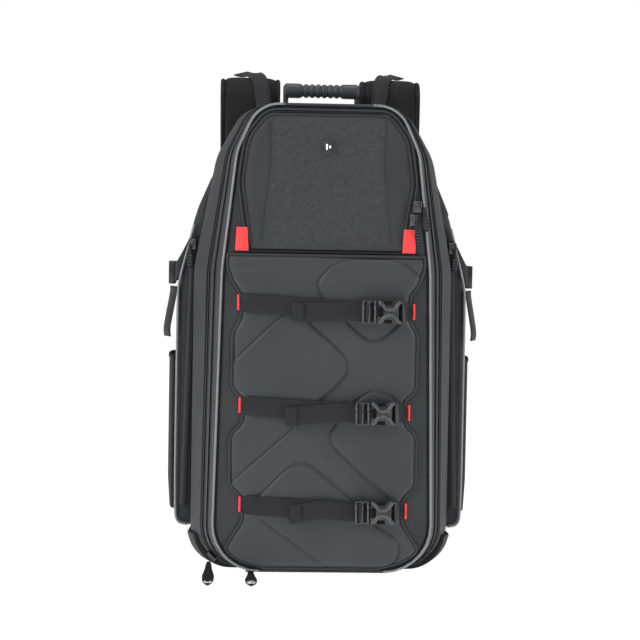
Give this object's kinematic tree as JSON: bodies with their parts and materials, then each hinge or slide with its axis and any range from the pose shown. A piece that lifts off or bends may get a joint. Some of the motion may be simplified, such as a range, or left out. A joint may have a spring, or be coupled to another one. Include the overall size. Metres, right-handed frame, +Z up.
{
  "type": "drone backpack",
  "caption": "Padded drone backpack with a zip-off moulded front, top pocket, side pockets, front straps with buckles and a shoulder harness.",
  "frame": {"origin": "on the floor under the base, on the middle plane of the pack", "axes": "+Z up, front faces -Y, +X to the viewer's right"},
  "size_m": [0.3484, 0.3339, 0.5475],
  "materials": {
    "shell_fabric": "fine twill nylon, charcoal",
    "base_fabric": "coated black fabric",
    "divider_foam": "brushed knit over foam",
    "frame_plastic": "polyethylene sheet",
    "mesh_fabric": "black spacer mesh",
    "moulded_eva": "fabric moulded over EVA foam",
    "reflective_piping": "silver reflective piping",
    "webbing": "woven polyester webbing",
    "buckle_plastic": "acetal, satin",
    "red_fabric": "red ribbon",
    "zip_tape": "coil zip on woven tape",
    "slider_metal": "black painted zinc",
    "pull_rubber": "soft black rubber",
    "badge_plastic": "glossy black"
  },
  "bodies": {
    "pack": {"main_shell": "shell_fabric", "base_boot": "base_fabric", "frame_sheet": "frame_plastic", "long_dividers": "divider_foam", "cross_dividers": "divider_foam", "main_zip_chain": "zip_tape", "back_pads_upper": "mesh_fabric", "back_pads_lower": "mesh_fabric", "shoulder_yoke": "base_fabric", "webbing_anchors": "base_fabric", "strap_roots": "mesh_fabric", "side_zips": "zip_tape", "wing_piping": "reflective_piping", "side_straps": "webbing", "side_buckle_females": "buckle_plastic", "side_pocket_left": "shell_fabric", "side_pocket_right": "shell_fabric", "bottle_pocket_left": "mesh_fabric", "bottle_pocket_right": "mesh_fabric"},
    "lid": {"lid_shell": "shell_fabric", "pocket_lining": "shell_fabric", "quilted_panel": "moulded_eva", "front_piping": "reflective_piping", "top_zip_chain": "zip_tape", "front_straps": "webbing", "red_tabs": "red_fabric", "female_buckle_top": "buckle_plastic", "female_buckle_middle": "buckle_plastic", "female_buckle_bottom": "buckle_plastic"},
    "top_flap": {"top_flap": "shell_fabric", "badge": "badge_plastic"},
    "buckle_top": {"male_buckle_top": "buckle_plastic", "strap_tail_top": "webbing"},
    "buckle_middle": {"male_buckle_middle": "buckle_plastic", "strap_tail_middle": "webbing"},
    "buckle_bottom": {"male_buckle_bottom": "buckle_plastic", "strap_tail_bottom": "webbing"},
    "side_buckle_left": {"side_buckle_male_left": "buckle_plastic", "side_strap_tail_left": "webbing"},
    "side_slider_left": {"side_slider_left": "slider_metal"},
    "side_pull_left": {"side_pull_left": "pull_rubber"},
    "side_buckle_right": {"side_buckle_male_right": "buckle_plastic", "side_strap_tail_right": "webbing"},
    "side_slider_right": {"side_slider_right": "slider_metal"},
    "side_pull_right": {"side_pull_right": "pull_rubber"},
    "top_slider_upper": {"top_slider_upper": "slider_metal"},
    "top_pull_upper": {"top_pull_upper": "pull_rubber"},
    "top_slider_lower": {"top_slider_lower": "slider_metal"},
    "top_pull_lower": {"top_pull_lower": "pull_rubber"},
    "main_slider_base": {"main_slider_base": "slider_metal"},
    "main_pull_base": {"main_pull_base": "pull_rubber"},
    "main_slider_corner": {"main_slider_corner": "slider_metal"},
    "main_pull_corner": {"main_pull_corner": "pull_rubber"},
    "grab_handle": {"grab_handle": "pull_rubber"},
    "shoulder_left": {"shoulder_strap_left": "mesh_fabric"},
    "lower_left": {"lower_strap_left": "webbing"},
    "chest_left": {"chest_strap_left": "webbing"},
    "shoulder_right": {"shoulder_strap_right": "mesh_fabric"},
    "lower_right": {"lower_strap_right": "webbing"},
    "chest_right": {"chest_strap_right": "webbing"}
  },
  "joints": [
    {"name": "lid_hinge", "type": "hinge", "parent": "pack", "child": "lid", "pos_m": [0, -0.07, 0.005], "axis": [1, 0, 0], "range_deg": [0, 100]},
    {"name": "flap_hinge", "type": "hinge", "parent": "lid", "child": "top_flap", "pos_m": [0, -0.1003, 0.347], "axis": [1, 0, 0], "range_deg": [0, 90]},
    {"name": "buckle_top_release", "type": "slide", "parent": "lid", "child": "buckle_top", "axis": [-1, 0, 0], "range_m": [0, 0.026]},
    {"name": "buckle_middle_release", "type": "slide", "parent": "lid", "child": "buckle_middle", "axis": [-1, 0, 0], "range_m": [0, 0.026]},
    {"name": "buckle_bottom_release", "type": "slide", "parent": "lid", "child": "buckle_bottom", "axis": [-1, 0, 0], "range_m": [0, 0.026]},
    {"name": "side_buckle_left_release", "type": "slide", "parent": "pack", "child": "side_buckle_left", "axis": [0, -1, 0], "range_m": [0, 0.026]},
    {"name": "side_zip_left", "type": "slide", "parent": "pack", "child": "side_slider_left", "axis": [-0.0268, 0, -0.9996], "range_m": [0, 0.27]},
    {"name": "side_pull_left_swing", "type": "hinge", "parent": "side_slider_left", "child": "side_pull_left", "pos_m": [-0.1454, -0.0193, 0.35], "axis": [-1, 0, 0], "range_deg": [0, 150]},
    {"name": "side_buckle_right_release", "type": "slide", "parent": "pack", "child": "side_buckle_right", "axis": [0, -1, 0], "range_m": [0, 0.026]},
    {"name": "side_zip_right", "type": "slide", "parent": "pack", "child": "side_slider_right", "axis": [0.0268, 0, -0.9996], "range_m": [0, 0.27]},
    {"name": "side_pull_right_swing", "type": "hinge", "parent": "side_slider_right", "child": "side_pull_right", "pos_m": [0.1454, -0.0193, 0.35], "axis": [-1, 0, 0], "range_deg": [0, 150]},
    {"name": "top_zip_upper", "type": "slide", "parent": "lid", "child": "top_slider_upper", "axis": [0.0797, 0, 0.9968], "range_m": [0, 0.04]},
    {"name": "top_pull_upper_swing", "type": "hinge", "parent": "top_slider_upper", "child": "top_pull_upper", "pos_m": [0.1016, -0.1096, 0.394], "axis": [-1, 0, 0], "range_deg": [0, 150]},
    {"name": "top_zip_lower", "type": "slide", "parent": "lid", "child": "top_slider_lower", "axis": [0, 0, 1], "range_m": [-0.008, 0]},
    {"name": "top_pull_lower_swing", "type": "hinge", "parent": "top_slider_lower", "child": "top_pull_lower", "pos_m": [0.0938, -0.1096, 0.38], "axis": [-1, 0, 0], "range_deg": [0, 150]},
    {"name": "main_zip_base", "type": "slide", "parent": "lid", "child": "main_slider_base", "axis": [1, 0, 0], "range_m": [0, 0.04]},
    {"name": "main_pull_base_swing", "type": "hinge", "parent": "main_slider_base", "child": "main_pull_base", "pos_m": [-0.0745, -0.0844, 0.0018], "axis": [1, 0, 0], "range_deg": [0, 80]},
    {"name": "main_zip_corner", "type": "slide", "parent": "lid", "child": "main_slider_corner", "axis": [-0.7071, 0, 0.7071], "range_m": [0, 0.012]},
    {"name": "main_pull_corner_swing", "type": "hinge", "parent": "main_slider_corner", "child": "main_pull_corner", "pos_m": [-0.1195, -0.0844, 0.0105], "axis": [1, 0, 0], "range_deg": [0, 75]},
    {"name": "handle_swing", "type": "hinge", "parent": "pack", "child": "grab_handle", "pos_m": [0, 0.086, 0.5085], "axis": [1, 0, 0], "range_deg": [-60, 80]},
    {"name": "shoulder_left_swing", "type": "hinge", "parent": "pack", "child": "shoulder_left", "pos_m": [-0.0815, 0.128, 0.5477], "axis": [1, 0, 0], "range_deg": [0, 10]},
    {"name": "lower_left_swing", "type": "hinge", "parent": "pack", "child": "lower_left", "pos_m": [-0.104, 0.0997, 0.062], "axis": [-1, 0, 0], "range_deg": [0, 13]},
    {"name": "chest_left_height", "type": "slide", "parent": "shoulder_left", "child": "chest_left", "axis": [0, 0, 1], "range_m": [-0.03, 0.03]},
    {"name": "shoulder_right_swing", "type": "hinge", "parent": "pack", "child": "shoulder_right", "pos_m": [0.0815, 0.128, 0.5477], "axis": [1, 0, 0], "range_deg": [0, 10]},
    {"name": "lower_right_swing", "type": "hinge", "parent": "pack", "child": "lower_right", "pos_m": [0.104, 0.0997, 0.062], "axis": [-1, 0, 0], "range_deg": [0, 13]},
    {"name": "chest_right_height", "type": "slide", "parent": "shoulder_right", "child": "chest_right", "axis": [0, 0, 1], "range_m": [-0.03, 0.03]}
  ],
  "couplings": [
    {"joint": "lower_left_swing", "follows": "shoulder_left_swing", "ratio": 1.3},
    {"joint": "lower_right_swing", "follows": "shoulder_right_swing", "ratio": 1.3}
  ]
}
